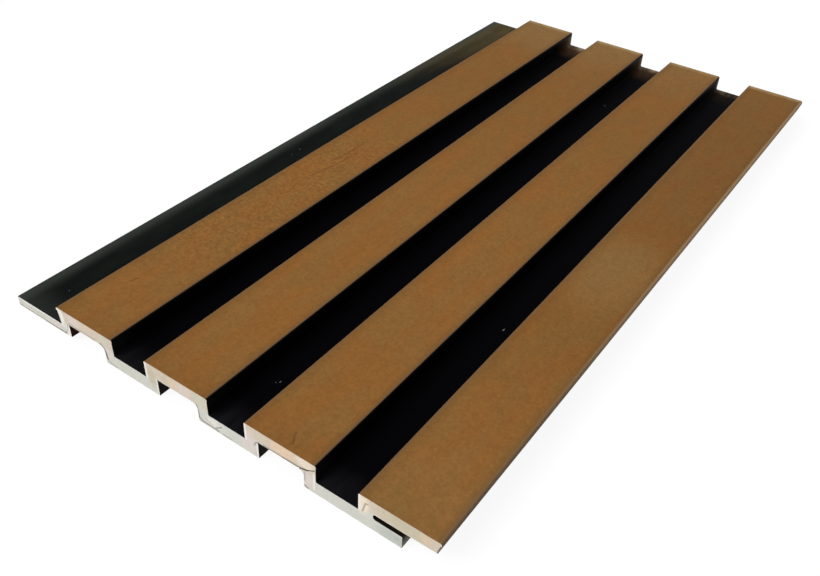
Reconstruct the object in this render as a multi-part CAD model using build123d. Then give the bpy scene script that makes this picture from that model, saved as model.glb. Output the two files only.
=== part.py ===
from build123d import *

import os

# Coextruded wall panel, lying on its back: X runs across the slats, Y along the extrusion and
# Z up, out of the wall. The origin is under the middle of the panel, on the wall plane.
# The flange is at low X and the overhanging lip at high X. All sizes are in millimetres.

# Length of the sawn piece
panel_length = 300.0

# Face: raised slats with grooves between them
slat_count = 4
slat_width = 25.5
groove_width = 14.0
groove_depth = 6.5

# Walls of the section
web_thickness = 5.0
face_thickness = 5.0
left_wall = 4.9
right_wall = 4.3
channel_corner_radius = 2.0

# Joint to the next panel: the lip of one panel covers part of the flange of the other
lip_cover = 7.0
flange_thickness = 3.6
lip_overhang = 11.5
lip_taper = 0.3
joint_undercut = 0.9
slot_height = 2.0
slot_depth = 9.3

# Coloured skins, and the rounded edges that they follow
skin = 0.4
core_edge_radius = 0.4
groove_corner_radius = 0.6
cap_side = 0.5

# Crack at the near saw cut, in the right corner of the slat before the last
crack_width = 0.3
crack_depth = 8.0
crack_rise = 3.1
crack_sag = 0.4

# Levels
panel_thickness = web_thickness + groove_depth
face_underside = panel_thickness - face_thickness
flange_underside = web_thickness - flange_thickness
slot_floor = face_underside - slot_height
edge_radius = core_edge_radius + skin
cap_bottom = panel_thickness - edge_radius - cap_side
lip_tip_underside = face_underside + lip_taper

# Places across the panel, from the edge of the flange
pitch = slat_width + groove_width
flange_width = groove_width + lip_cover
slat_lefts = [flange_width + i * pitch for i in range(slat_count)]
groove_lefts = [left + slat_width for left in slat_lefts[:-1]]
panel_width = slat_lefts[-1] + slat_width
leg_end = panel_width - lip_overhang
lip_tip = panel_width - joint_undercut


def area(left, right, bottom, top):
    """Rectangle in the section plane, given by its sides."""
    corner = Pos(left, bottom)
    return corner * Rectangle(right - left, top - bottom, align=(Align.MIN, Align.MIN))


def round_top(left, right, bottom, top, radius):
    """Rectangle with both upper corners rounded."""
    flat = area(left, right, bottom, top)
    return fillet(flat.vertices().group_by(Axis.Y)[-1], radius)


def round_bottom(left, right, bottom, top, radius):
    """Rectangle with both lower corners rounded."""
    flat = area(left, right, bottom, top)
    return fillet(flat.vertices().group_by(Axis.Y)[0], radius)


def polygon(*points):
    """Filled outline through the given points, which stay where they are."""
    return make_face(Polyline(*points, close=True))


def groove(left):
    """Space of one groove, open upwards."""
    return round_bottom(left, left + groove_width, web_thickness, panel_thickness, groove_corner_radius)


def back_channel(slat_left):
    """Space behind one slat, open to the wall, with its right corner rounded."""
    left = slat_left + left_wall
    right = slat_left + slat_width - right_wall
    flat = area(left, right, 0, face_underside)
    corner = flat.vertices().group_by(Axis.Y)[-1].sort_by(Axis.X)[-1]
    return fillet(corner, channel_corner_radius)


def space_over_flange():
    """Space above the flange, with the side of the first slat leaning in under its cap."""
    slat_left = slat_lefts[0]
    return polygon(
        (0, web_thickness),
        (slat_left + joint_undercut, web_thickness),
        (slat_left, cap_bottom),
        (slat_left, panel_thickness),
        (0, panel_thickness),
    )


def space_under_flange():
    """Space that keeps the flange and the first wall off the wall plane."""
    return area(0, slat_lefts[0] + left_wall, 0, flange_underside)


def space_under_lip():
    """Space right of the leg and under the lip, whose underside rises towards its tip."""
    return polygon(
        (leg_end, 0),
        (panel_width, 0),
        (panel_width, cap_bottom),
        (lip_tip, lip_tip_underside),
        (lip_tip - skin, lip_tip_underside),
        (leg_end, face_underside),
    )


def leg_slot():
    """Slot between the last slat's face and the leg, closed by a round end at its left."""
    left = leg_end - slot_depth
    radius = slot_height / 2
    round_end = Pos(left + radius, slot_floor + radius) * Circle(radius)
    return round_end + area(left + radius, leg_end, slot_floor, face_underside)


def panel_section():
    """Whole cross-section, skins included: the outer rectangle less every space in it."""
    section = area(0, panel_width, 0, panel_thickness)
    spaces = [space_over_flange(), space_under_flange(), leg_slot(), space_under_lip()]
    spaces += [groove(left) for left in groove_lefts]
    spaces += [back_channel(left) for left in slat_lefts[:-1]]
    for space in spaces:
        section -= space
    return fillet(section.vertices().group_by(Axis.Y)[-1], edge_radius)


def slat_cap_section(left):
    """Skin over one slat: its face, its rounded edges and the top of its sides."""
    right = left + slat_width
    outside = round_top(left, right, cap_bottom, panel_thickness, edge_radius)
    top = panel_thickness - skin
    return outside - round_top(left + skin, right - skin, cap_bottom, top, core_edge_radius)


def groove_liner_section(left):
    """Skin on the floor and both sides of one groove, up to the slats' skins."""
    right = left + groove_width
    floor = web_thickness - skin
    outside = round_bottom(left - skin, right + skin, floor, cap_bottom, groove_corner_radius + skin)
    return outside - round_bottom(left, right, web_thickness, cap_bottom, groove_corner_radius)


def flange_liner_section():
    """Skin on top of the flange and up the leaning side of the first slat."""
    slat_left = slat_lefts[0]
    foot = slat_left + joint_undercut
    return polygon(
        (0, web_thickness),
        (foot, web_thickness),
        (slat_left, cap_bottom),
        (slat_left + skin, cap_bottom),
        (foot + skin, web_thickness - skin),
        (0, web_thickness - skin),
    )


def lip_liner_section():
    """Skin on the leaning outer side of the lip, under the last slat's skin."""
    return polygon(
        (panel_width, cap_bottom),
        (lip_tip, lip_tip_underside),
        (lip_tip - skin, lip_tip_underside),
        (panel_width - skin, cap_bottom),
    )


def extruded(section):
    """Section run along Y, half of the panel's length each way from its middle."""
    return extrude(Plane.XZ * Pos(-panel_width / 2, 0) * section, amount=panel_length / 2, both=True)


def corner_crack():
    """Crack that runs in from the near saw cut, between the face and the right wall of a slat."""
    right = slat_lefts[-2] + slat_width
    start = Vector(right - right_wall - channel_corner_radius, face_underside)
    end = Vector(right, face_underside + crack_rise)
    middle = (start + end) / 2 - Vector(0, crack_sag)
    line = trace(ThreePointArc(start, middle, end), crack_width)
    near_cut = Plane.XZ.offset(panel_length / 2)
    return extrude(near_cut * Pos(-panel_width / 2, 0) * line, amount=-crack_depth)


def core():
    """Pale body of the panel: the section less its skins, with the crack at the near cut."""
    section = panel_section() - flange_liner_section() - lip_liner_section()
    for left in slat_lefts:
        section -= slat_cap_section(left)
    for left in groove_lefts:
        section -= groove_liner_section(left)
    return extruded(section) - corner_crack()


parts = {
    "core": core(),
    "flange_liner": extruded(flange_liner_section()),
    "lip_liner": extruded(lip_liner_section()),
}
for number, left in enumerate(slat_lefts, start=1):
    parts[f"slat_cap_{number}"] = extruded(slat_cap_section(left))
for number, left in enumerate(groove_lefts, start=1):
    parts[f"groove_liner_{number}"] = extruded(groove_liner_section(left))

os.makedirs("parts", exist_ok=True)
for name, part in parts.items():
    export_step(part, f"parts/{name}.step")
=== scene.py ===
import bmesh
import bpy
from bpy.props import FloatProperty, FloatVectorProperty, IntProperty, PointerProperty
from math import cos, pi, radians, sin
from mathutils import Euler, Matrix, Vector


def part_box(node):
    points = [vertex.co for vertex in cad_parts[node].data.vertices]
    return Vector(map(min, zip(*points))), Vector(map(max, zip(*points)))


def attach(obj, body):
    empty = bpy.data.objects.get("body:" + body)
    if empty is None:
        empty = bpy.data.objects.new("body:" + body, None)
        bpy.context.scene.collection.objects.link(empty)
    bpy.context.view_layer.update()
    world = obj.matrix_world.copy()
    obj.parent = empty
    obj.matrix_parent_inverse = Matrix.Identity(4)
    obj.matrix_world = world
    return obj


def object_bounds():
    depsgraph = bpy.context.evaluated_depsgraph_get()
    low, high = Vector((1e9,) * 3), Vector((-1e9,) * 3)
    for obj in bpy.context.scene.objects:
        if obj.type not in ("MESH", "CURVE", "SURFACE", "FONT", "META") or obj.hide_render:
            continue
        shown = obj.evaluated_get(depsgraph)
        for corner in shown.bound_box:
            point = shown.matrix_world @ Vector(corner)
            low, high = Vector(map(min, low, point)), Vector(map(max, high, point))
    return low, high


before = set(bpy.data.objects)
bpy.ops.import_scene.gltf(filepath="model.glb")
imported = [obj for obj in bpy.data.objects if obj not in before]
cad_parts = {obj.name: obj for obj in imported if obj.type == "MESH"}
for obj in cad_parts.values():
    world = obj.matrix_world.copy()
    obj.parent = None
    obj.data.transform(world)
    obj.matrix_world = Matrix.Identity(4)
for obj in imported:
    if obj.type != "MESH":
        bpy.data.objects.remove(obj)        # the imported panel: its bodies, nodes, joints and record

bl_info = {
    "name": "Coextruded Wall Panel",
    "version": (1, 0, 0),
    "blender": (4, 5, 0),
    "location": "View3D > Sidebar > Wall Panel",
    "description": "Finishes a sawn piece of coextruded wall panel: brown slats, black grooves, pale core",
    "category": "Object",
}

# Objects are in metres. Patterns are drawn in millimetres: across from the flange's outer edge,
# along from the near saw cut, and out from the back of the panel.
MM = 0.001
LOW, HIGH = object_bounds()
SLATS = sorted(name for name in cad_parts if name.startswith("slat_cap"))
GROOVES = sorted(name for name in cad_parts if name.startswith("groove_liner"))
PANEL_LENGTH = (HIGH.y - LOW.y) / MM
PANEL_WIDTH = (HIGH.x - LOW.x) / MM


def panel_millimetres(node):
    """Lowest and highest corner of a node, measured as the patterns are."""
    return [(corner - LOW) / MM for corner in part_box(node)]


# Thickness of the coloured skins, and how far the lip runs out past the leg
SKIN = 0.4
LIP_OVERHANG = 11.5

# Places and levels that the imported panel gives: slats, the plates' underside, the black floors and the
# leg
FIRST_LEFT = panel_millimetres(SLATS[0])[0].x
SLAT_WIDTH = panel_millimetres(SLATS[0])[1].x - FIRST_LEFT
PITCH = panel_millimetres(SLATS[1])[0].x - FIRST_LEFT
SLAT_TOP = panel_millimetres(SLATS[0])[1].z
FACE_UNDERSIDE = panel_millimetres("lip_liner")[0].z
FLOOR_LEVEL = panel_millimetres("flange_liner")[0].z + SKIN
LEG_END = PANEL_WIDTH - LIP_OVERHANG

FLOAT = "NodeSocketFloat"
VECTOR = "NodeSocketVector"
COLOUR = "NodeSocketColor"


def tone(red, green, blue):
    """Linear colour of a display colour that is given from 0 to 255."""
    shares = [level / 255 for level in (red, green, blue)]
    linear = [s / 12.92 if s <= 0.04045 else ((s + 0.055) / 1.055) ** 2.4 for s in shares]
    return (*linear, 1.0)


def colour(name, description, *levels):
    """Colour property with a display colour as its default."""
    return FloatVectorProperty(
        name=name, description=description, subtype="COLOR", size=4, min=0, max=1, default=tone(*levels)
    )


def size(name, description, default):
    """Length property, whose default is given in millimetres."""
    return FloatProperty(name=name, description=description, unit="LENGTH", min=0, default=default * MM)


def share(name, description, default, highest=1.0):
    """Plain factor property."""
    return FloatProperty(name=name, description=description, min=0, max=highest, default=default)


class SlatFinish(bpy.types.PropertyGroup):
    """Brown skin of the slats."""

    brown: colour("Brown", "Main colour of the slats", 129, 91, 46)
    orange: colour("Orange patches", "Warmer patches in the brown", 136, 88, 40)
    dust_and_light: colour("Dust", "Greyed brown at the ends and in one patch", 134, 102, 60)
    burr: colour("Burr", "Pale edge along the far saw cut", 176, 152, 112)
    # Painted sheen: the greyed line along the rounded edges is partly wear and partly the edges catching
    # light
    edge: colour("Edge line", "Greyed brown along the rounded edges", 111, 84, 56)
    # Painted highlight: pale brown along the lip's rounded edge, stronger away from the near cut
    lip_edge_light: colour("Worn edge", "Pale brown along the lip's edge", 156, 126, 92)
    cut: colour("Sawn skin", "Brown skin where the saw went through it", 132, 90, 50)
    mark: colour("Marks", "Short dark scratches on the slats", 96, 60, 30)
    grain_width: size("Grain width", "Width of one streak of the grain", 0.5)
    grain_length: size("Grain length", "Length of one streak of the grain", 7.0)
    grain_depth: size("Grain depth", "Depth of the embossed grain", 0.05)
    sand_size: size("Sand size", "Size of the sandy mottle", 1.0)
    wear_and_sheen_reach: size("Edge reach", "How far the greyed line reaches in from the side of a slat", 1.5)
    roughness: share("Roughness", "Roughness of the brown skin", 0.62)


class BlackFinish(bpy.types.PropertyGroup):
    """Black skin of the grooves and the flange, painted darker in the grooves as painted shade and lighter
    on the flange as painted light, and the brown skin of the lip's side.
    """

    # Painted shade and painted light: grooves and flange have one black skin; the grooves' near-black is
    # painted shade, the flange's charcoal is painted light
    groove: colour("Groove", "Black of the grooves and of the slats' sides", 1, 1, 3)
    flange: colour("Flange", "Charcoal of the flange", 11, 16, 13)
    # Painted sheen: lighter grey along the flange's outer edge and at its far end; the same colour gives
    # the painted light near the near cut
    sheened: colour("Rubbed edge", "Flange where it is rubbed, along its outer edge", 58, 62, 58)
    # Painted light: lighter olive on the flange's far end, held back beside the first slat as painted
    # shade
    far_light: colour("Haze", "Olive haze on the far end of the flange", 76, 66, 42)
    # Painted light: on the grooves this brown stands for light from behind at their far ends; on the slats
    # it is dust
    dust_and_light: colour("Dust", "Brown dust at the far ends of the grooves", 84, 60, 38)
    burr: colour("Burr", "Pale burr on the black skin at the far saw cut", 130, 114, 96)
    # Painted light: lighter black near the near cut, where light reaches into the grooves and onto the
    # flange
    near_light: colour("Bloom", "Grey bloom beside the near saw cut", 20, 20, 22)
    lip: colour("Lip side", "Outer side of the lip", 138, 116, 92)
    cut: colour("Cut lip skin", "Skin of the lip's side where the saw went through it", 70, 48, 38)
    roughness: share("Roughness", "Roughness of the black skin", 0.72)


class CoreFinish(bpy.types.PropertyGroup):
    """Pale core: its saw cuts, its back, and painted shade inside its channels."""

    plate: colour("Cut plates", "Sawn face plates", 214, 200, 182)
    web: colour("Cut webs", "Sawn webs, walls and flange", 210, 209, 200)
    rim: colour("Rim", "Bright burr along the left edges of the cut", 240, 236, 229)
    olive: colour("Olive", "Olive parts of the cut", 198, 189, 164)
    green: colour("Green", "Grey green parts of the cut", 204, 208, 190)
    pink: colour("Pink", "Pinkish parts of the cut", 226, 210, 205)
    peach: colour("Peach", "Warmest parts of the cut", 232, 203, 174)
    cream: colour("Cream", "Palest warm parts of the cut", 242, 228, 206)
    grey: colour("Grey", "Cool grey parts of the cut", 190, 195, 187)
    seam: colour("Seams", "Flow lines in the cut", 82, 77, 71)
    # Painted shade: the inside of the channels, the slot and the lip's underside are coloured dark where
    # only shade falls
    recess_shade: colour("Recesses", "Inside of the channels, the slot and the lip", 20, 13, 7)
    # Red brown tint of that painted shade in the mouth of the first channel
    red_shade: colour("Stain", "Red brown stain in the mouth of the first channel", 52, 15, 10)
    back: colour("Back", "Back of the webs and the flange", 202, 196, 182)
    pore_size: size("Pore size", "Size of the pores in the foamed core", 0.35)
    saw_pitch: size("Saw pitch", "Distance between the saw's tooth marks", 0.9)
    roughness: share("Roughness", "Roughness of the core", 0.8)


class ChipFinish(bpy.types.PropertyGroup):
    """Small pale chips that lie on the black skin."""

    chip: colour("Chips", "Colour of the chips", 92, 94, 96)
    chip_size: size("Chip size", "Length of a middling chip", 0.8)
    seed: IntProperty(name="Seed", description="Seed of the chips' turns", default=3)


class StageSettings(bpy.types.PropertyGroup):
    """Floor, light and camera."""

    key: share("Key light", "Light level of the front lamp: 1 shows a colour as it is written", 0.95, 4)
    back: share("Back light", "Light level of the lamp behind the panel", 0.12, 4)
    sky: share("Sky", "Light level of the surroundings", 0.35, 4)
    floor: share("Floor", "Share of light that the floor throws back", 0.5)
    shadow: share("Shadow", "Share of the floor's white that a full shadow takes away", 0.09)


class WallPanelSettings(bpy.types.PropertyGroup):
    """All settings of the panel."""

    slats: PointerProperty(type=SlatFinish)
    black: PointerProperty(type=BlackFinish)
    core: PointerProperty(type=CoreFinish)
    chips: PointerProperty(type=ChipFinish)
    stage: PointerProperty(type=StageSettings)


class Graph:
    """Adds nodes to one tree and links them, one call for each step of an effect."""

    def __init__(self, tree):
        self.tree = tree

    def add(self, kind, **settings):
        """New node with the given settings."""
        node = self.tree.nodes.new(kind)
        for name, value in settings.items():
            setattr(node, name, value)
        return node

    def feed(self, socket, source):
        """Links another node's output to a socket, or sets the socket to a number or colour."""
        if isinstance(source, bpy.types.NodeSocket):
            self.tree.links.new(source, socket)
        else:
            socket.default_value = source

    def run(self, node, *sources):
        """Feeds a node's sockets in their order and gives its first output."""
        for socket, source in zip(node.inputs, sources):
            self.feed(socket, source)
        return node.outputs[0]

    def math(self, operation, *values):
        """Result of one step of arithmetic on numbers."""
        return self.run(self.add("ShaderNodeMath", operation=operation), *values)

    def vector(self, operation, *values):
        """Vector that one step of arithmetic on vectors gives."""
        return self.run(self.add("ShaderNodeVectorMath", operation=operation), *values)

    def measure(self, operation, *values):
        """Number that one step of arithmetic on vectors gives, such as a length."""
        node = self.add("ShaderNodeVectorMath", operation=operation)
        self.run(node, *values)
        return node.outputs["Value"]

    def times(self, *values):
        """Product of two or more values."""
        product = values[0]
        for value in values[1:]:
            product = self.math("MULTIPLY", product, value)
        return product

    def scale(self, vector, factor):
        """Vector times a number."""
        node = self.add("ShaderNodeVectorMath", operation="SCALE")
        self.feed(node.inputs[0], vector)
        self.feed(node.inputs["Scale"], factor)
        return node.outputs[0]

    def split(self, vector):
        """The three parts of a vector."""
        node = self.add("ShaderNodeSeparateXYZ")
        self.feed(node.inputs[0], vector)
        return node.outputs

    def join(self, *parts):
        """Vector of three parts."""
        return self.run(self.add("ShaderNodeCombineXYZ"), *parts)

    def rise(self, value, start, end):
        """Smooth rise from 0 at start to 1 at end."""
        node = self.add("ShaderNodeMapRange", interpolation_type="SMOOTHSTEP")
        return self.run(node, value, start, end, 0.0, 1.0)

    def remap(self, value, low, high):
        """Turns a value from 0 to 1 into one from low to high."""
        return self.run(self.add("ShaderNodeMapRange"), value, 0.0, 1.0, low, high)

    def noise(self, vector, scale, detail=2.0, roughness=0.5):
        """Soft noise, mostly near a half."""
        node = self.add("ShaderNodeTexNoise")
        self.feed(node.inputs["Vector"], vector)
        self.feed(node.inputs["Scale"], scale)
        self.feed(node.inputs["Detail"], detail)
        self.feed(node.inputs["Roughness"], roughness)
        return node.outputs[0]

    def mix(self, factor, first, second, blend="MIX"):
        """Mix of two colours."""
        node = self.add("ShaderNodeMix", data_type="RGBA", blend_type=blend)
        self.feed(node.inputs[0], factor)
        self.feed(node.inputs[6], first)
        self.feed(node.inputs[7], second)
        return node.outputs[2]

    def shade(self, base, value, low, high):
        """Colour made darker or lighter by a value from 0 to 1, between the factors low and high."""
        factor = self.remap(value, low, high)
        grey = self.run(self.add("ShaderNodeCombineColor"), factor, factor, factor)
        return self.mix(1.0, base, grey, "MULTIPLY")

    def effect(self, name, *sources):
        """Places a shared effect, feeds it in the order of its inputs and gives its output."""
        if name not in bpy.data.node_groups:
            EFFECTS[name](name)
        node = self.add("ShaderNodeGroup", node_tree=bpy.data.node_groups[name])
        return self.run(node, *sources)

    def band(self, value, low, high, soft):
        """Mask that is 1 between two values and fades out on both sides."""
        return self.effect("Band", value, low, high, soft)

    def place(self):
        """Object coordinates in millimetres from the flange's edge, the near cut and the back."""
        node = self.add("ShaderNodeTexCoord")
        return self.scale(self.vector("SUBTRACT", node.outputs["Object"], LOW), 1 / MM)

    def faces(self, axis, full=0.6):
        """Mask of the surfaces that face across (X), along (Y) or out of the panel (Z), either way."""
        node = self.add("ShaderNodeTexCoord")
        parts = self.split(self.vector("ABSOLUTE", node.outputs["Normal"]))
        return self.rise(parts[axis], 0.4, full)


def new_effect(name, inputs, output, kind=FLOAT):
    """Empty shared effect with named sockets: its graph, its inputs and its output's socket."""
    tree = bpy.data.node_groups.new(name, "ShaderNodeTree")
    for label, input_kind in inputs:
        tree.interface.new_socket(label, in_out="INPUT", socket_type=input_kind)
    tree.interface.new_socket(output, in_out="OUTPUT", socket_type=kind)
    graph = Graph(tree)
    given = graph.add("NodeGroupInput").outputs
    result = graph.add("NodeGroupOutput").inputs[0]
    return graph, given, result


def band_effect(name):
    """Mask that is 1 between two values and fades out on both sides."""
    inputs = [("Value", FLOAT), ("Low", FLOAT), ("High", FLOAT), ("Soft", FLOAT)]
    graph, given, result = new_effect(name, inputs, "Mask")
    masks = []
    for limit in ("Low", "High"):
        start = graph.math("SUBTRACT", given[limit], given["Soft"])
        end = graph.math("ADD", given[limit], given["Soft"])
        masks.append(graph.rise(given["Value"], start, end))
    graph.feed(result, graph.math("SUBTRACT", *masks))


def grain_effect(name):
    """Fine streaks along the panel, which wander a little from side to side."""
    inputs = [("Place", VECTOR), ("Width", FLOAT), ("Length", FLOAT), ("Wander", FLOAT)]
    graph, given, result = new_effect(name, inputs, "Streaks")
    slow = graph.noise(given["Place"], 0.045, 1.0)
    sideways = graph.times(graph.math("SUBTRACT", slow, 0.5), given["Wander"])
    x, y, z = graph.split(given["Place"])
    across = graph.math("DIVIDE", graph.math("ADD", x, sideways), given["Width"])
    along = graph.math("DIVIDE", y, given["Length"])
    graph.feed(result, graph.noise(graph.join(across, along, z), 0.5, 3.0, 0.55))


def sand_effect(name):
    """Even, fine, sandy mottle of a given size."""
    graph, given, result = new_effect(name, [("Place", VECTOR), ("Size", FLOAT)], "Sand")
    fineness = graph.math("DIVIDE", 1.0, given["Size"])
    graph.feed(result, graph.noise(given["Place"], fineness, 2.5, 0.6))


def patches_effect(name):
    """Broad soft patches, of a given size across and along the panel."""
    inputs = [("Place", VECTOR), ("Across", FLOAT), ("Along", FLOAT)]
    graph, given, result = new_effect(name, inputs, "Patches")
    x, y, _ = graph.split(given["Place"])
    across = graph.math("DIVIDE", x, given["Across"])
    along = graph.math("DIVIDE", y, given["Along"])
    graph.feed(result, graph.rise(graph.noise(graph.join(across, along, 0.0), 1.0), 0.38, 0.64))


def line_effect(name):
    """Mask of a straight line between two points, with soft sides."""
    inputs = [("Place", VECTOR), ("Start", VECTOR), ("End", VECTOR), ("Width", FLOAT)]
    graph, given, result = new_effect(name, inputs, "Mask")
    reach = graph.vector("SUBTRACT", given["End"], given["Start"])
    offset = graph.vector("SUBTRACT", given["Place"], given["Start"])
    dots = [graph.measure("DOT_PRODUCT", first, reach) for first in (offset, reach)]
    held = graph.run(graph.add("ShaderNodeClamp"), graph.math("DIVIDE", *dots), 0.0, 1.0)
    miss = graph.measure("LENGTH", graph.vector("SUBTRACT", offset, graph.scale(reach, held)))
    width = given["Width"]
    graph.feed(result, graph.rise(miss, width, graph.times(width, 0.2)))


def spot_effect(name):
    """Mask of a soft oval spot: 1 at its centre, 0 from its reach on."""
    inputs = [("Place", VECTOR), ("Centre", VECTOR), ("Reach", VECTOR)]
    graph, given, result = new_effect(name, inputs, "Mask")
    offset = graph.vector("SUBTRACT", given["Place"], given["Centre"])
    distance = graph.measure("LENGTH", graph.vector("DIVIDE", offset, given["Reach"]))
    graph.feed(result, graph.rise(distance, 1.0, 0.35))


# Colours of the saw cut, in the order in which its effect takes them
CUT_COLOURS = ("plate", "web", "rim", "olive", "green", "pink", "peach", "cream", "grey", "seam")

# Tinted parts of the saw cuts: colour, strength, middle and reach, each across and above the back
TINTS = (
    ("rim", 0.95, (9.0, 5.0), (15.0, 1.3)),
    ("green", 0.5, (11.0, 3.2), (4.5, 1.3)),
    ("pink", 0.5, (18.5, 3.2), (4.5, 1.6)),
    ("rim", 0.95, (22.4, 8.2), (2.2, 5.5)),
    ("rim", 0.9, (24.9, 3.4), (1.7, 3.2)),
    ("pink", 0.6, (28.5, 9.3), (4.5, 3.0)),
    ("peach", 0.45, (35.0, 10.2), (2.6, 1.8)),
    ("green", 0.5, (43.0, 9.4), (3.4, 3.2)),
    ("pink", 0.6, (43.8, 4.4), (2.6, 3.0)),
    ("green", 0.55, (50.5, 2.6), (4.5, 2.4)),
    ("olive", 0.85, (63.2, 6.2), (2.6, 5.6)),
    ("olive", 0.4, (68.5, 9.8), (5.0, 3.0)),
    ("peach", 0.5, (72.0, 9.0), (3.0, 2.6)),
    ("pink", 0.5, (76.8, 9.0), (3.6, 3.4)),
    ("green", 0.6, (83.0, 8.8), (3.6, 4.6)),
    ("rim", 0.5, (87.5, 2.6), (4.5, 2.6)),
    ("pink", 0.55, (101.5, 4.6), (5.0, 6.5)),
    ("peach", 0.85, (114.0, 9.4), (6.5, 3.6)),
    ("cream", 0.75, (121.6, 9.8), (4.2, 2.6)),
    ("pink", 0.7, (123.0, 3.8), (2.6, 4.2)),
    ("cream", 0.9, (140.8, 8.0), (3.0, 5.2)),
    ("peach", 0.55, (149.5, 9.8), (1.8, 1.4)),
    ("olive", 0.75, (154.5, 9.4), (12.0, 4.4)),
    ("peach", 0.5, (160.5, 9.4), (3.2, 2.2)),
    ("grey", 0.85, (149.5, 2.0), (6.0, 3.4)),
    ("seam", 0.1, (153.0, 2.2), (2.5, 3.4)),
)

# Flow lines in the near cut: strength, width, and points across and above the back
SEAMS = (
    (0.4, 0.4, (0.5, 1.95), (8.0, 1.8), (14.0, 1.75)),
    (0.6, 0.6, (14.0, 1.75), (18.0, 1.7), (23.4, 1.75)),
    (0.4, 0.4, (23.4, 1.9), (24.6, 3.8), (25.3, 6.2)),
    (0.3, 0.5, (26.0, 7.1), (30.0, 7.0), (38.0, 7.0)),
    (0.95, 0.6, (40.6, 6.7), (41.9, 5.8), (42.6, 4.2), (42.9, 2.0)),
    (0.35, 0.4, (42.8, 2.0), (44.2, 0.8), (47.0, 0.5)),
    (0.7, 0.4, (81.4, 6.3), (81.9, 4.2), (82.0, 1.8)),
    (0.6, 0.5, (82.0, 1.7), (83.2, 0.9), (89.6, 0.8)),
    (0.55, 0.4, (88.6, 1.4), (90.9, 3.1)),
    (0.35, 0.4, (84.5, 3.0), (86.0, 1.9), (87.2, 1.8)),
    (0.5, 0.35, (91.2, 0.6), (94.5, 0.5)),
    (0.5, 0.45, (103.5, 4.6), (104.0, 5.8), (105.2, 6.6)),
    (0.5, 0.5, (107.0, 6.8), (114.0, 6.85)),
    (0.8, 0.45, (114.0, 6.85), (119.6, 6.95), (122.4, 7.6)),
    (0.35, 0.35, (121.6, 6.6), (121.5, 3.0)),
    (0.6, 0.5, (121.4, 1.0), (122.6, 0.5)),
    (0.55, 0.4, (142.6, 9.0), (141.8, 8.9), (141.4, 7.2), (140.9, 5.3)),
)

# Bright lines in the near cut, drawn in the same way
BURRS = (
    (0.7, 0.5, (25.7, 1.7), (25.7, 6.2)),
    (0.7, 0.5, (65.1, 0.3), (65.1, 6.2)),
    (0.9, 0.5, (104.6, 0.3), (104.6, 5.6)),
    (0.8, 0.5, (124.7, 1.4), (124.7, 7.6)),
)

# Levels over which the cut webs give way to the cut face plates, and how far layers are drawn out
PLATES_ABOVE = (FACE_UNDERSIDE - 1.6, FACE_UNDERSIDE + 0.8)
LAYER_STRETCH = 0.22

# Bright rim: its band beside each slat's left side, and the levels over which it comes in
RIM_BAND = (-0.6, 0.75, 0.25)
RIM_ABOVE = (4.4, 5.4)

# Only this close to the near cut, in millimetres, are its lines and burrs drawn
NEAR_CUT = (10.0, 1.0)


def chain(graph, place, points, width):
    """Mask of a line of the given width through several points."""
    mask = 0.0
    for start, end in zip(points, points[1:]):
        mask = graph.math("MAXIMUM", mask, graph.effect("Line", place, start, end, width))
    return mask


def slat_distances(graph, x):
    """How far a place is right of a slat's left side, and left of the same slat's right side."""
    from_left = graph.math("FLOORED_MODULO", graph.math("SUBTRACT", x, FIRST_LEFT), PITCH)
    return from_left, graph.math("SUBTRACT", SLAT_WIDTH, from_left)


def cut_effect(name):
    """Colours of the sawn core: face plates, webs and tints, and lines and burrs at the near cut."""
    inputs = [("Place", VECTOR)] + [(label.title(), COLOUR) for label in CUT_COLOURS]
    graph, given, result = new_effect(name, inputs, "Colour", COLOUR)
    x, y, z = graph.split(given["Place"])
    flat = graph.join(x, 0.0, z)
    base = graph.mix(graph.rise(z, *PLATES_ABOVE), given["Web"], given["Plate"])
    for label, strength, (across, above), (wide, tall) in TINTS:
        spot = graph.effect("Spot", flat, Vector((across, 0, above)), Vector((wide, 1, tall)))
        base = graph.mix(graph.times(spot, strength), base, given[label.title()])

    layers = graph.join(graph.times(x, LAYER_STRETCH), 0.0, z)
    base = graph.shade(base, graph.noise(layers, 1.6, 3.0, 0.6), 0.87, 1.11)
    base = graph.shade(base, graph.noise(flat, 1.1), 0.93, 1.07)
    from_left, _ = slat_distances(graph, x)
    rim = graph.times(graph.band(from_left, *RIM_BAND), graph.rise(z, *RIM_ABOVE), 0.85)
    base = graph.mix(rim, base, given["Rim"])
    near = graph.rise(y, *NEAR_CUT)
    for lines, label in ((BURRS, "Rim"), (SEAMS, "Seam")):
        for strength, width, *points in lines:
            corners = [Vector((across, 0, above)) for across, above in points]
            mask = graph.times(chain(graph, flat, corners, width), strength, near)
            base = graph.mix(mask, base, given[label])
    graph.feed(result, base)


EFFECTS = {
    "Band": band_effect,
    "Grain": grain_effect,
    "Sand": sand_effect,
    "Patches": patches_effect,
    "Line": line_effect,
    "Spot": spot_effect,
    "Sawn Core": cut_effect,
}


def sawn(graph, core, place, base, skin, skin_line):
    """Colour of a whole piece: its base, and on its sawn ends the core with a line of skin."""
    cut = graph.effect("Sawn Core", place, *[getattr(core, name) for name in CUT_COLOURS])
    return graph.mix(graph.faces("Y"), base, graph.mix(skin_line, cut, skin))


def new_material(name, roughness, specular):
    """Material with its graph and its shader."""
    material = bpy.data.materials.new(name)
    material.use_nodes = True
    shader = material.node_tree.nodes["Principled BSDF"]
    shader.inputs["Roughness"].default_value = roughness
    shader.inputs["Specular IOR Level"].default_value = specular
    return material, Graph(material.node_tree), shader


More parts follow.
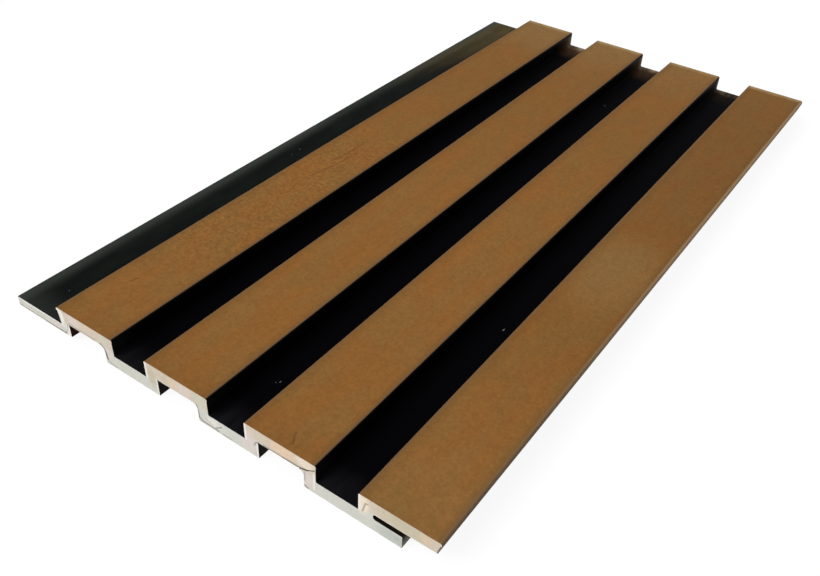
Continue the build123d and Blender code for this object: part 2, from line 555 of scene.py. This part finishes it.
def finish_surface(graph, shader, base, height, depth):
    """Connects a colour and a relief of the given depth in millimetres to the shader."""
    graph.feed(shader.inputs["Base Color"], base)
    bump = graph.add("ShaderNodeBump")
    graph.feed(bump.inputs["Distance"], depth * MM)
    graph.feed(bump.inputs["Height"], height)
    graph.feed(shader.inputs["Normal"], bump.outputs[0])


# Size of the slats' patches and clouds, and how much coarser the sand of the rough stretch is
ORANGE_PATCH = (9.0, 24.0)
CLOUD_SIZE = 4.5
COARSER = 1.3

# Changes along the slats, in millimetres: where each one starts and where it is full
FAR_DUST = (PANEL_LENGTH - 45.0, PANEL_LENGTH - 10.0)
FAR_BURR = (PANEL_LENGTH - 4.0, PANEL_LENGTH - 0.5)
FAR_SHADE = (110.0, 230.0)
NEAR_SHADE = (14.0, 2.0)
LAST_SLAT_GREY = (35.0, 0.0)
LAST_SLAT_SHADE = (20.0, 120.0)
LIP_LIGHT_ALONG = (20.0, 180.0)

# Changes across the panel, and in from the sides of each slat, in the same way
CLEANER_SLATS = (60.0, 150.0)
LAST_SLAT = (125.0, 150.0)
LIP_EDGE = (PANEL_WIDTH - 1.1, PANEL_WIDTH - 0.3)
OFF_THE_LIP = (PANEL_WIDTH - 3.0, PANEL_WIDTH - 4.0)
LEFT_SHADE = (0.6, 5.0)
RIGHT_SHADE = (0.4, 3.4)
OFF_THE_LEFT = (5.0, 6.0)

# Levels at which the slats' sides turn black, and at which their skin shows in the saw cuts
BLACK_SIDES = (SLAT_TOP - 0.7, SLAT_TOP - 1.0)
SAWN_SKIN = (SLAT_TOP - 0.36, SLAT_TOP - 0.2)

# Rough stretch of the first slat: its change across, and where it starts, ends and how softly
ROUGH_ACROSS = (50.0, 46.0)
ROUGH_ALONG = (40.0, 155.0, 30.0)

# Greyed patch on the last slat: its middle and its reach
GREY_PATCH = (Vector((152.0, 124.0, SLAT_TOP)), Vector((18.0, 34.0, 18.0)))

# Short dark marks on top of the slats: points across and along, in millimetres
SLAT_MARKS = (
    ((31.8, 122.9), (32.9, 132.2), (33.0, 143.0)),
    ((32.2, 108.0), (34.7, 121.1), (35.8, 133.1)),
    ((29.2, 22.5), (29.9, 25.0)),
    ((115.9, 2.2), (114.3, 4.5), (113.9, 5.9)),
    ((74.8, 288.6), (76.4, 291.5)),
)
SLAT_MARK_WIDTH = 0.35


def slat_tones(graph, finish, place):
    """Brown with warmer patches, greyed ends and slow changes from light to dark."""
    x, y, _ = graph.split(place)
    patches = graph.effect("Patches", place, *ORANGE_PATCH)
    base = graph.mix(graph.times(patches, 0.6), finish.brown, finish.orange)
    last_slat = graph.rise(x, *LAST_SLAT)
    dusty = graph.times(graph.rise(y, *FAR_DUST), graph.remap(graph.rise(x, *CLEANER_SLATS), 0.8, 0.1))
    greyed = graph.times(last_slat, graph.rise(y, *LAST_SLAT_GREY), 0.4)
    base = graph.mix(graph.math("MAXIMUM", dusty, greyed), base, finish.dust_and_light)
    base = graph.shade(base, graph.rise(y, *FAR_SHADE), 1.0, 0.9)
    base = graph.shade(base, graph.rise(y, *NEAR_SHADE), 1.0, 0.94)
    base = graph.shade(base, graph.times(last_slat, graph.rise(y, *LAST_SLAT_SHADE)), 1.0, 0.85)
    patch = graph.effect("Spot", place, *GREY_PATCH)
    base = graph.mix(graph.times(patch, 0.5), base, finish.dust_and_light)
    from_left, from_right = slat_distances(graph, x)
    base = graph.shade(base, graph.rise(from_left, *LEFT_SHADE), 0.86, 1.0)
    return graph.shade(base, graph.rise(from_right, *RIGHT_SHADE), 0.84, 1.0)


def slat_grain(graph, finish, place, base, streaks, clouds, sand):
    """Base with streaks, soft clouds and sand, which is coarser on a stretch of the first slat."""
    x, y, _ = graph.split(place)
    base = graph.shade(base, graph.rise(streaks, 0.35, 0.7), 1.02, 0.97)
    base = graph.shade(base, clouds, 0.92, 1.08)
    base = graph.shade(base, sand, 0.72, 1.28)
    rough = graph.times(graph.rise(x, *ROUGH_ACROSS), graph.band(y, *ROUGH_ALONG))
    base = graph.shade(base, graph.times(graph.rise(streaks, 0.54, 0.66), rough), 1.0, 0.96)
    coarse = graph.effect("Sand", place, finish.sand_size / MM * COARSER)
    coarse = graph.times(graph.math("SUBTRACT", coarse, 0.5), rough)
    return graph.shade(base, graph.math("ADD", coarse, 0.5), 0.5, 1.5)


def slat_edges(graph, finish, black, place, base):
    """Base with a greyed line along the slats' edges, partly wear and partly painted sheen, black sides
    and a painted highlight on the lip's edge.
    """
    x, y, z = graph.split(place)
    from_left, from_right = slat_distances(graph, x)
    reach = finish.wear_and_sheen_reach / MM
    # Greyed line along both edges of each slat: partly wear, partly painted sheen
    edge = graph.rise(graph.math("MINIMUM", from_left, from_right), reach, reach * 0.5)
    base = graph.mix(graph.times(edge, 0.8), base, finish.edge)
    low = graph.rise(z, *BLACK_SIDES)
    right = graph.times(
        graph.faces("X", 0.7), graph.rise(from_left, *OFF_THE_LEFT), graph.rise(x, *OFF_THE_LIP)
    )
    base = graph.mix(graph.math("MAXIMUM", low, right), base, black.groove)
    # Painted highlight along the lip's rounded edge, growing away from the near cut
    lip_edge_light = graph.remap(graph.rise(y, *LIP_LIGHT_ALONG), 0.2, 1.0)
    return graph.mix(graph.times(graph.rise(x, *LIP_EDGE), lip_edge_light), base, finish.lip_edge_light)


def slat_material(finish, black, core):
    """Brown skin with a sandy grain, warmer patches, greyed edges that are partly painted sheen, and black
    sides.
    """
    material, graph, shader = new_material("slat_brown", finish.roughness, specular=0.07)
    place = graph.place()
    _, y, z = graph.split(place)
    streaks = graph.effect("Grain", place, finish.grain_width / MM, finish.grain_length / MM, 9.0)
    clouds = graph.effect("Sand", place, CLOUD_SIZE)
    sand = graph.effect("Sand", place, finish.sand_size / MM)

    base = slat_tones(graph, finish, place)
    base = slat_grain(graph, finish, place, base, streaks, clouds, sand)
    burr = graph.times(graph.rise(y, *FAR_BURR), graph.remap(clouds, 0.0, 0.9))
    base = graph.mix(burr, base, finish.burr)
    for points in SLAT_MARKS:
        mark = chain(graph, place, [Vector((*point, SLAT_TOP)) for point in points], SLAT_MARK_WIDTH)
        base = graph.mix(graph.times(mark, 0.8), base, finish.mark)
    base = slat_edges(graph, finish, black, place, base)
    base = sawn(graph, core, place, base, finish.cut, graph.rise(z, *SAWN_SKIN))

    height = graph.math("ADD", graph.times(streaks, 0.5), graph.times(sand, 0.5))
    finish_surface(graph, shader, base, height, finish.grain_depth / MM)
    return material


# How much of the black skin shows as a dark line in the saw cuts
SKIN_LINE = 0.18

# Streaks on the other skins and on the back: width, length and wander, in millimetres
GROOVE_STREAKS = (1.2, 30.0, 3.0)
FLANGE_STREAKS = (1.5, 40.0, 4.0)
LIP_STREAKS = (0.6, 24.0, 2.0)
DIE_LINES = (1.4, 60.0, 1.0)

# Size of the cloudy patches on the black skin, across and along
GROOVE_CLOUDS = (4.0, 9.0)
FLANGE_CLOUDS = (5.0, 18.0)

# Changes on the black skin, in millimetres: where each one starts and where it is full
# Painted light near the open near cut
NEAR_LIGHT = (12.0, 0.0)
# Painted light in brown at the grooves' far ends, less towards the lip
GROOVE_FAR_LIGHT = (PANEL_LENGTH - 18.0, PANEL_LENGTH - 2.0)
GROOVE_BURR = (PANEL_LENGTH - 6.0, PANEL_LENGTH - 1.0)
GROOVES_TOWARDS_LIP = (60.0, 140.0)


def groove_material(finish, core):
    """Black skin of the grooves, painted darker than the flange's as painted shade, with painted light at
    the near cut and painted light in brown at the far one.
    """
    material, graph, shader = new_material("groove_black", finish.roughness, specular=0.03)
    place = graph.place()
    x, y, z = graph.split(place)
    cloudy = graph.effect("Patches", place, *GROOVE_CLOUDS)
    towards_lip = graph.rise(x, *GROOVES_TOWARDS_LIP)
    grain = graph.effect("Grain", place, *GROOVE_STREAKS)

    # Painted light near the near cut, where light reaches in from the open end
    near_light = graph.times(graph.rise(y, *NEAR_LIGHT), graph.remap(cloudy, 0.5, 0.9))
    base = graph.mix(near_light, finish.groove, finish.near_light)
    # Painted light in brown at the far ends, where light from behind reaches the grooves
    dust_and_light = graph.times(
        graph.rise(y, *GROOVE_FAR_LIGHT), graph.remap(towards_lip, 0.9, 0.1), graph.remap(cloudy, 0.6, 1.0)
    )
    base = graph.mix(dust_and_light, base, finish.dust_and_light)
    burr = graph.times(
        graph.rise(y, *GROOVE_BURR), graph.remap(cloudy, 0.2, 0.9), graph.remap(towards_lip, 1.0, 0.4)
    )
    base = graph.mix(burr, base, finish.burr)
    base = graph.shade(base, grain, 0.6, 1.4)

    from_left, into_left_wall = slat_distances(graph, x)
    into_right_wall = graph.math("SUBTRACT", from_left, PITCH)
    into_walls = graph.math("MAXIMUM", into_left_wall, into_right_wall)
    depth = graph.math("MAXIMUM", into_walls, graph.math("SUBTRACT", FLOOR_LEVEL, z))
    skin_line = graph.rise(depth, SKIN_LINE, SKIN_LINE * 0.5)
    base = sawn(graph, core, place, base, finish.groove, skin_line)
    finish_surface(graph, shader, base, grain, depth=0.03)
    return material


# Painted sheen on the flange: along its outer edge, and where along it the sheen is less
SHEENED_EDGE = (6.5, 0.0)
LESS_SHEEN = (150.0, 215.0, 25.0)
LESS_SHEEN_NEAR = (80.0, 30.0)

# Painted sheen at the far end, across and along, and the slanted front of the painted light at the far end
FAR_SHEEN_ACROSS = (6.0, 0.0)
FAR_SHEEN_ALONG = (200.0, 290.0)
FAR_LIGHT_SLANT = 3.0
FAR_LIGHT_FRONT = (175.0, 275.0)

# Black side of the first slat above the flange, and the flange up to that side
WALL_ABOVE_FLANGE = (FLOOR_LEVEL, FLOOR_LEVEL + 1.5)
UP_TO_THE_WALL = (22.5, 21.5)


def flange_material(finish, core):
    """Black skin of the flange, painted lighter than the grooves' as painted light, with painted sheen
    along its outer edge and painted light at the far end.
    """
    material, graph, shader = new_material("flange_black_painted_light", finish.roughness, specular=0.04)
    place = graph.place()
    x, y, z = graph.split(place)
    cloudy = graph.effect("Patches", place, *FLANGE_CLOUDS)
    streaks = graph.effect("Grain", place, *FLANGE_STREAKS)

    # Charcoal base, which is the black skin with painted light, varied in cloudy patches
    base = graph.shade(finish.flange, cloudy, 0.8, 1.3)
    # Painted sheen along the flange's outer edge, weaker along part of its length
    less_sheen = graph.times(
        graph.remap(graph.band(y, *LESS_SHEEN), 1.0, 0.6),
        graph.remap(graph.rise(y, *LESS_SHEEN_NEAR), 1.0, 0.75),
    )
    sheen = graph.times(graph.rise(x, *SHEENED_EDGE), graph.remap(streaks, 0.6, 1.2), less_sheen)
    base = graph.mix(sheen, base, finish.sheened)
    # Painted light towards the far end, with painted shade beside the first slat from the slant
    slanted = graph.math("SUBTRACT", y, graph.times(x, FAR_LIGHT_SLANT))
    far_lit = graph.times(graph.rise(slanted, *FAR_LIGHT_FRONT), graph.remap(cloudy, 0.75, 1.0))
    base = graph.mix(far_lit, base, finish.far_light)
    # Painted sheen on the outer edge at the far end
    far_sheen = graph.times(graph.rise(x, *FAR_SHEEN_ACROSS), graph.rise(y, *FAR_SHEEN_ALONG), 0.9)
    base = graph.mix(far_sheen, base, finish.sheened)
    # Painted light on the flange near the near cut
    base = graph.mix(graph.times(graph.rise(y, *NEAR_LIGHT), 0.3), base, finish.sheened)
    base = graph.mix(graph.rise(z, *WALL_ABOVE_FLANGE), base, finish.groove)
    base = graph.shade(base, streaks, 0.75, 1.25)

    in_the_skin = graph.rise(z, FLOOR_LEVEL - SKIN_LINE, FLOOR_LEVEL)
    skin_line = graph.times(in_the_skin, graph.rise(x, *UP_TO_THE_WALL))
    base = sawn(graph, core, place, base, finish.flange, skin_line)
    finish_surface(graph, shader, base, streaks, depth=0.04)
    return material


# Length over which the lip's side turns paler, away from the near cut
LIP_PALER = (10.0, 180.0)


def lip_material(finish, core):
    """Brown skin on the lip's outer side, paler away from the near cut."""
    material, graph, shader = new_material("lip_brown", finish.roughness, specular=0.08)
    place = graph.place()
    _, y, _ = graph.split(place)
    streaks = graph.effect("Grain", place, *LIP_STREAKS)
    base = graph.shade(finish.lip, streaks, 0.6, 1.3)
    base = graph.shade(base, graph.rise(y, *LIP_PALER), 0.7, 1.1)
    base = sawn(graph, core, place, base, finish.cut, skin_line=0.75)
    finish_surface(graph, shader, base, streaks, depth=0.03)
    return material


# Painted shade in the recesses: sides past the flange's outer edge, ceilings above the back, and painted
# light where the light reaches the leg's side
PAST_THE_EDGE = (2.0, 4.0)
ABOVE_THE_BACK = (2.5, 3.5)
LEG_LIGHT = (4.2, 0.5)

# Red brown tint of the painted shade in the first channel: its changes across and along
RED_SHADE_ACROSS = (46.0, 40.0)
RED_SHADE_ALONG = (45.0, 15.0)


def core_material(finish):
    """Foamed core: porous saw cuts with tooth marks, pale back, and painted shade in the recesses."""
    material, graph, shader = new_material("core_foam", finish.roughness, specular=0.1)
    place = graph.place()
    x, y, z = graph.split(place)

    back = graph.shade(finish.back, graph.effect("Grain", place, *DIE_LINES), 0.9, 1.06)
    # Painted shade on the sides and ceilings of the recesses, and painted light on the foot of the leg's
    # side
    side = graph.times(graph.faces("X"), graph.rise(x, *PAST_THE_EDGE))
    ceiling = graph.times(graph.rise(z, *ABOVE_THE_BACK), graph.faces("Z"))
    leg_side = graph.band(x, LEG_END - 0.5, LEG_END + 0.5, 0.1)
    in_light = graph.times(leg_side, graph.rise(z, *LEG_LIGHT), 0.6)
    inside = graph.math("SUBTRACT", graph.math("MAXIMUM", side, ceiling), in_light)
    reddened = graph.times(graph.rise(x, *RED_SHADE_ACROSS), graph.rise(y, *RED_SHADE_ALONG))
    base = graph.mix(inside, back, graph.mix(reddened, finish.recess_shade, finish.red_shade))
    base = sawn(graph, finish, place, base, finish.seam, skin_line=0.0)

    pores = graph.effect("Sand", place, finish.pore_size / MM)
    base = graph.shade(base, pores, 0.93, 1.07)
    tooth = graph.add("ShaderNodeTexWave", wave_profile="SAW")
    tooth.inputs["Scale"].default_value = MM / finish.saw_pitch
    tooth.inputs["Distortion"].default_value = 2.0
    graph.feed(tooth.inputs["Vector"], place)
    tooth_marks = graph.times(tooth.outputs["Fac"], graph.faces("Y"), 0.3)
    height = graph.math("ADD", graph.times(pores, 0.7), tooth_marks)
    finish_surface(graph, shader, base, height, depth=0.05)
    return material


def put_on(node, material):
    """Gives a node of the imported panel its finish. Its shape stays as it is."""
    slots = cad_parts[node].material_slots
    if len(slots) == 0:
        raise RuntimeError(f"{node} has no material slot")
    for slot in slots:
        slot.material = material


# Chips on the black skin: across, along, and size as a share of a middling one
CHIPS = (
    (8.6, 129.2, 1.0),
    (8.9, 124.0, 0.7),
    (1.6, 147.0, 0.8),
    (10.6, 11.9, 0.7),
    (93.1, 22.3, 1.0),
    (92.2, 21.3, 0.6),
    (90.8, 248.4, 0.9),
    (133.7, 83.5, 1.4),
)

# Length, width and height of a chip as shares of its size, and the most it is tilted and turned
CHIP_SHAPE = (1.0, 0.55, 0.22)
CHIP_TURN = (0.3, 0.3, 2 * pi)


def chip_tree():
    """Geometry nodes that set a small rough flake on each point, each turned at random."""
    tree = bpy.data.node_groups.new("Chips", "GeometryNodeTree")
    for label, kind in (
        ("Points", "NodeSocketGeometry"),
        ("Size", FLOAT),
        ("Seed", "NodeSocketInt"),
        ("Material", "NodeSocketMaterial"),
    ):
        tree.interface.new_socket(label, in_out="INPUT", socket_type=kind)
    tree.interface.new_socket("Chips", in_out="OUTPUT", socket_type="NodeSocketGeometry")
    graph = Graph(tree)
    given = graph.add("NodeGroupInput").outputs

    flake = graph.add("GeometryNodeMeshIcoSphere")
    flake.inputs["Radius"].default_value = 0.5
    flake.inputs["Subdivisions"].default_value = 2
    rough = graph.add("GeometryNodeSetPosition")
    noise = graph.add("ShaderNodeTexNoise")
    noise.inputs["Scale"].default_value = 2.5
    centred = graph.vector("SUBTRACT", noise.outputs["Color"], (0.5, 0.5, 0.5))
    graph.feed(rough.inputs["Geometry"], flake.outputs["Mesh"])
    graph.feed(rough.inputs["Offset"], centred)

    turn = graph.add("FunctionNodeRandomValue", data_type="FLOAT_VECTOR")
    turn.inputs["Max"].default_value = CHIP_TURN
    graph.feed(turn.inputs["Seed"], given["Seed"])
    own_size = graph.add("GeometryNodeInputNamedAttribute", data_type="FLOAT")
    own_size.inputs["Name"].default_value = "chip_size"
    shape = graph.scale(CHIP_SHAPE, graph.times(own_size.outputs["Attribute"], given["Size"]))

    place = graph.add("GeometryNodeInstanceOnPoints")
    graph.feed(place.inputs["Points"], given["Points"])
    graph.feed(place.inputs["Instance"], rough.outputs["Geometry"])
    graph.feed(place.inputs["Rotation"], turn.outputs["Value"])
    graph.feed(place.inputs["Scale"], shape)
    real = graph.add("GeometryNodeRealizeInstances")
    graph.feed(real.inputs[0], place.outputs[0])
    dressed = graph.add("GeometryNodeSetMaterial")
    graph.feed(dressed.inputs["Geometry"], real.outputs[0])
    graph.feed(dressed.inputs["Material"], given["Material"])
    graph.feed(graph.add("NodeGroupOutput").inputs[0], dressed.outputs[0])
    return tree


def set_inputs(modifier, values):
    """Sets a modifier's inputs by the names that its tree gives them."""
    for item in modifier.node_group.interface.items_tree:
        if item.in_out == "INPUT" and item.name in values:
            modifier[item.identifier] = values[item.name]


def baked(carrier, name):
    """Plain mesh object of what a carrier's modifiers make. The carrier is removed."""
    graph = bpy.context.evaluated_depsgraph_get()
    mesh = bpy.data.meshes.new_from_object(carrier.evaluated_get(graph))
    bpy.data.objects.remove(carrier)
    piece = bpy.data.objects.new(name, mesh)
    bpy.context.collection.objects.link(piece)
    return piece


def chip_points():
    """Points on the black skin where the chips lie, each with its own size."""
    mesh = bpy.data.meshes.new("chip_points")
    mesh.from_pydata([LOW + Vector((x, y, FLOOR_LEVEL)) * MM for x, y, _ in CHIPS], [], [])
    sizes = mesh.attributes.new("chip_size", "FLOAT", "POINT")
    sizes.data.foreach_set("value", [chip_size for _, _, chip_size in CHIPS])
    points = bpy.data.objects.new("chip_points", mesh)
    bpy.context.collection.objects.link(points)
    return points


def chip_material(finish):
    """Pale grey flakes with a fine mottle."""
    material, graph, shader = new_material("chip_grey", roughness=0.8, specular=0.3)
    sand = graph.effect("Sand", graph.place(), 0.3)
    finish_surface(graph, shader, graph.shade(finish.chip, sand, 0.8, 1.2), sand, depth=0.02)
    return material


class PanelStep(bpy.types.Operator):
    """One step of the panel's finishing."""

    bl_options = {"REGISTER", "UNDO"}


class FinishSlats(PanelStep):
    """Give the brown skins of the slats their finish"""

    bl_idname = "wall_panel.finish_slats"
    bl_label = "Finish Slats"

    def execute(self, context):
        settings = context.scene.wall_panel
        material = slat_material(settings.slats, settings.black, settings.core)
        for name in SLATS:
            put_on(name, material)
        return {"FINISHED"}


class FinishGrooves(PanelStep):
    """Give the black skins of the grooves their finish"""

    bl_idname = "wall_panel.finish_grooves"
    bl_label = "Finish Grooves"

    def execute(self, context):
        settings = context.scene.wall_panel
        material = groove_material(settings.black, settings.core)
        for name in GROOVES:
            put_on(name, material)
        return {"FINISHED"}


class FinishJoint(PanelStep):
    """Give the skins of the flange and the lip, which make the joint, their finish"""

    bl_idname = "wall_panel.finish_joint"
    bl_label = "Finish Joint"

    def execute(self, context):
        settings = context.scene.wall_panel
        put_on("flange_liner", flange_material(settings.black, settings.core))
        put_on("lip_liner", lip_material(settings.black, settings.core))
        return {"FINISHED"}


class FinishCore(PanelStep):
    """Give the pale core its saw cuts, its back and the painted shade of its recesses"""

    bl_idname = "wall_panel.finish_core"
    bl_label = "Finish Core"

    def execute(self, context):
        put_on("core", core_material(context.scene.wall_panel.core))
        return {"FINISHED"}


class AddChips(PanelStep):
    """Lay the small pale chips on the flange and in the grooves"""

    bl_idname = "wall_panel.add_chips"
    bl_label = "Add Chips"

    def execute(self, context):
        finish = context.scene.wall_panel.chips
        points = chip_points()
        modifier = points.modifiers.new("Chips", "NODES")
        modifier.node_group = chip_tree()
        values = {"Size": finish.chip_size, "Seed": finish.seed, "Material": chip_material(finish)}
        set_inputs(modifier, values)
        chips = baked(points, "surface_chips")
        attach(chips, "root")
        return {"FINISHED"}


CAMERA_PLACE = (144.1 * MM, -264.21 * MM, 193.23 * MM)
CAMERA_TURN = (51.283, -2.465, 35.235)
CAMERA_LENS = 39.167
SENSOR_WIDTH = 36.0
NEAREST_SEEN = 0.01

# Directions to the lamps: degrees round the panel, 0 at the near cut and 90 at the lip, and degrees up
KEY_FROM = (-28.0, 46.0)
BACK_FROM = (155.0, 35.0)
KEY_SPREAD = 40.0
BACK_SPREAD = 60.0

# Round floor, just under the panel, with a sweep up to the backdrop
FLOOR_RADIUS = 2.6
FLOOR_SIDES = 64
FLOOR_DROP = 0.1 * MM
SWEEP_RADIUS = 0.6
SWEEP_STEPS = 8
SWEEP_HEIGHT = 1.3

# Raises the colour that the floor shows, so that it stays white where no shadow falls
WHITE_MARGIN = 1.1


def add_camera():
    """Camera at the photograph's place and angle."""
    data = bpy.data.cameras.new("camera")
    data.lens = CAMERA_LENS
    data.sensor_width = SENSOR_WIDTH
    data.clip_start = NEAREST_SEEN
    camera = bpy.data.objects.new("camera", data)
    camera.location = CAMERA_PLACE
    camera.rotation_euler = Euler([radians(angle) for angle in CAMERA_TURN])
    bpy.context.collection.objects.link(camera)
    bpy.context.scene.camera = camera


def add_sun(name, level, direction, spread):
    """Broad lamp far away. Level 1 shows a colour as written on a surface that faces the lamp."""
    data = bpy.data.lights.new(name, "SUN")
    data.energy = level * pi
    data.angle = radians(spread)
    lamp = bpy.data.objects.new(name, data)
    azimuth, height = (radians(angle) for angle in direction)
    towards = Vector((sin(azimuth) * cos(height), -cos(azimuth) * cos(height), sin(height)))
    lamp.rotation_euler = towards.to_track_quat("Z", "Y").to_euler()
    bpy.context.collection.objects.link(lamp)


def grey(level):
    """Grey of one linear level."""
    return (level, level, level, 1)


def floor_material(settings):
    """Pale floor that shows white to the camera and in reflections, less a part of its shadows."""
    material = bpy.data.materials.new("floor_white")
    material.use_nodes = True
    graph = Graph(material.node_tree)
    material.node_tree.nodes.remove(material.node_tree.nodes["Principled BSDF"])
    output = material.node_tree.nodes["Material Output"]

    paper = graph.remap(graph.noise(graph.place(), 0.02, 3.0), 0.97, 1.03)
    thrown = graph.add("ShaderNodeBsdfDiffuse")
    graph.feed(thrown.inputs["Color"], graph.mix(paper, grey(0), grey(settings.floor)))
    seen = graph.add("ShaderNodeBsdfDiffuse")
    graph.feed(seen.inputs["Color"], graph.mix(paper, grey(0), grey(settings.shadow * WHITE_MARGIN)))
    white = graph.add("ShaderNodeEmission")
    graph.feed(white.inputs["Strength"], 1 - settings.shadow)
    shown = graph.run(graph.add("ShaderNodeAddShader"), seen.outputs[0], white.outputs[0])

    rays = graph.add("ShaderNodeLightPath").outputs
    direct = graph.math("MAXIMUM", rays["Is Camera Ray"], rays["Is Glossy Ray"])
    direct = graph.math("MAXIMUM", direct, rays["Is Transmission Ray"])
    mixed = graph.add("ShaderNodeMixShader")
    graph.feed(output.inputs["Surface"], graph.run(mixed, direct, thrown.outputs[0], shown))
    return material


def add_floor(settings):
    """Round floor that sweeps up into a low backdrop."""
    outline = [(0.0, -FLOOR_DROP), (FLOOR_RADIUS, -FLOOR_DROP)]
    for step in range(1, SWEEP_STEPS + 1):
        angle = radians(90 * step / SWEEP_STEPS)
        across = FLOOR_RADIUS + SWEEP_RADIUS * sin(angle)
        outline.append((across, SWEEP_RADIUS * (1 - cos(angle)) - FLOOR_DROP))
    outline.append((FLOOR_RADIUS + SWEEP_RADIUS, SWEEP_HEIGHT))

    form = bmesh.new()
    rim = [form.verts.new((across, 0.0, above)) for across, above in outline]
    edges = [form.edges.new(pair) for pair in zip(rim, rim[1:])]
    bmesh.ops.spin(
        form, geom=rim + edges, cent=(0, 0, 0), axis=(0, 0, 1), angle=2 * pi, steps=FLOOR_SIDES
    )
    bmesh.ops.remove_doubles(form, verts=form.verts, dist=0.01 * MM)
    bmesh.ops.recalc_face_normals(form, faces=form.faces)
    mesh = bpy.data.meshes.new("floor")
    form.to_mesh(mesh)
    form.free()
    mesh.materials.append(floor_material(settings))
    floor = bpy.data.objects.new("floor", mesh)
    bpy.context.collection.objects.link(floor)


def set_sky(level):
    """Even grey surroundings."""
    world = bpy.data.worlds.new("studio")
    world.use_nodes = True
    background = world.node_tree.nodes["Background"]
    background.inputs["Color"].default_value = grey(1)
    background.inputs["Strength"].default_value = level
    bpy.context.scene.world = world


class SetStage(PanelStep):
    """Set up the pale floor, the soft light and the camera"""

    bl_idname = "wall_panel.set_stage"
    bl_label = "Set Stage"

    def execute(self, context):
        settings = context.scene.wall_panel.stage
        context.scene.view_settings.view_transform = "Standard"
        add_camera()
        add_sun("key_lamp", settings.key, KEY_FROM, KEY_SPREAD)
        add_sun("back_lamp", settings.back, BACK_FROM, BACK_SPREAD)
        set_sky(settings.sky)
        add_floor(settings)
        return {"FINISHED"}


STEPS = (SetStage, FinishSlats, FinishGrooves, FinishJoint, FinishCore, AddChips)
GROUPS = (SlatFinish, BlackFinish, CoreFinish, ChipFinish, StageSettings, WallPanelSettings)


class WALLPANEL_PT_steps(bpy.types.Panel):
    """Steps and settings of the wall panel"""

    bl_label = "Wall Panel"
    bl_space_type = "VIEW_3D"
    bl_region_type = "UI"
    bl_category = "Wall Panel"

    def draw(self, context):
        for step in STEPS:
            self.layout.operator(step.bl_idname)
        settings = context.scene.wall_panel
        for part in ("slats", "black", "core", "chips", "stage"):
            box = self.layout.box()
            box.label(text=part.title())
            group = getattr(settings, part)
            for name in group.__annotations__:
                box.prop(group, name)


def register():
    """Adds the settings, the steps and their panel to Blender."""
    for kind in (*GROUPS, *STEPS, WALLPANEL_PT_steps):
        bpy.utils.register_class(kind)
    bpy.types.Scene.wall_panel = PointerProperty(type=WallPanelSettings)


def unregister():
    """Takes the settings, the steps and their panel out again."""
    del bpy.types.Scene.wall_panel
    for kind in reversed((*GROUPS, *STEPS, WALLPANEL_PT_steps)):
        bpy.utils.unregister_class(kind)


def main():
    """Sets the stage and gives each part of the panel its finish."""
    register()
    bpy.ops.wall_panel.set_stage()
    bpy.ops.wall_panel.finish_slats()
    bpy.ops.wall_panel.finish_grooves()
    bpy.ops.wall_panel.finish_joint()
    bpy.ops.wall_panel.finish_core()
    bpy.ops.wall_panel.add_chips()


if __name__ == "__main__":
    main()
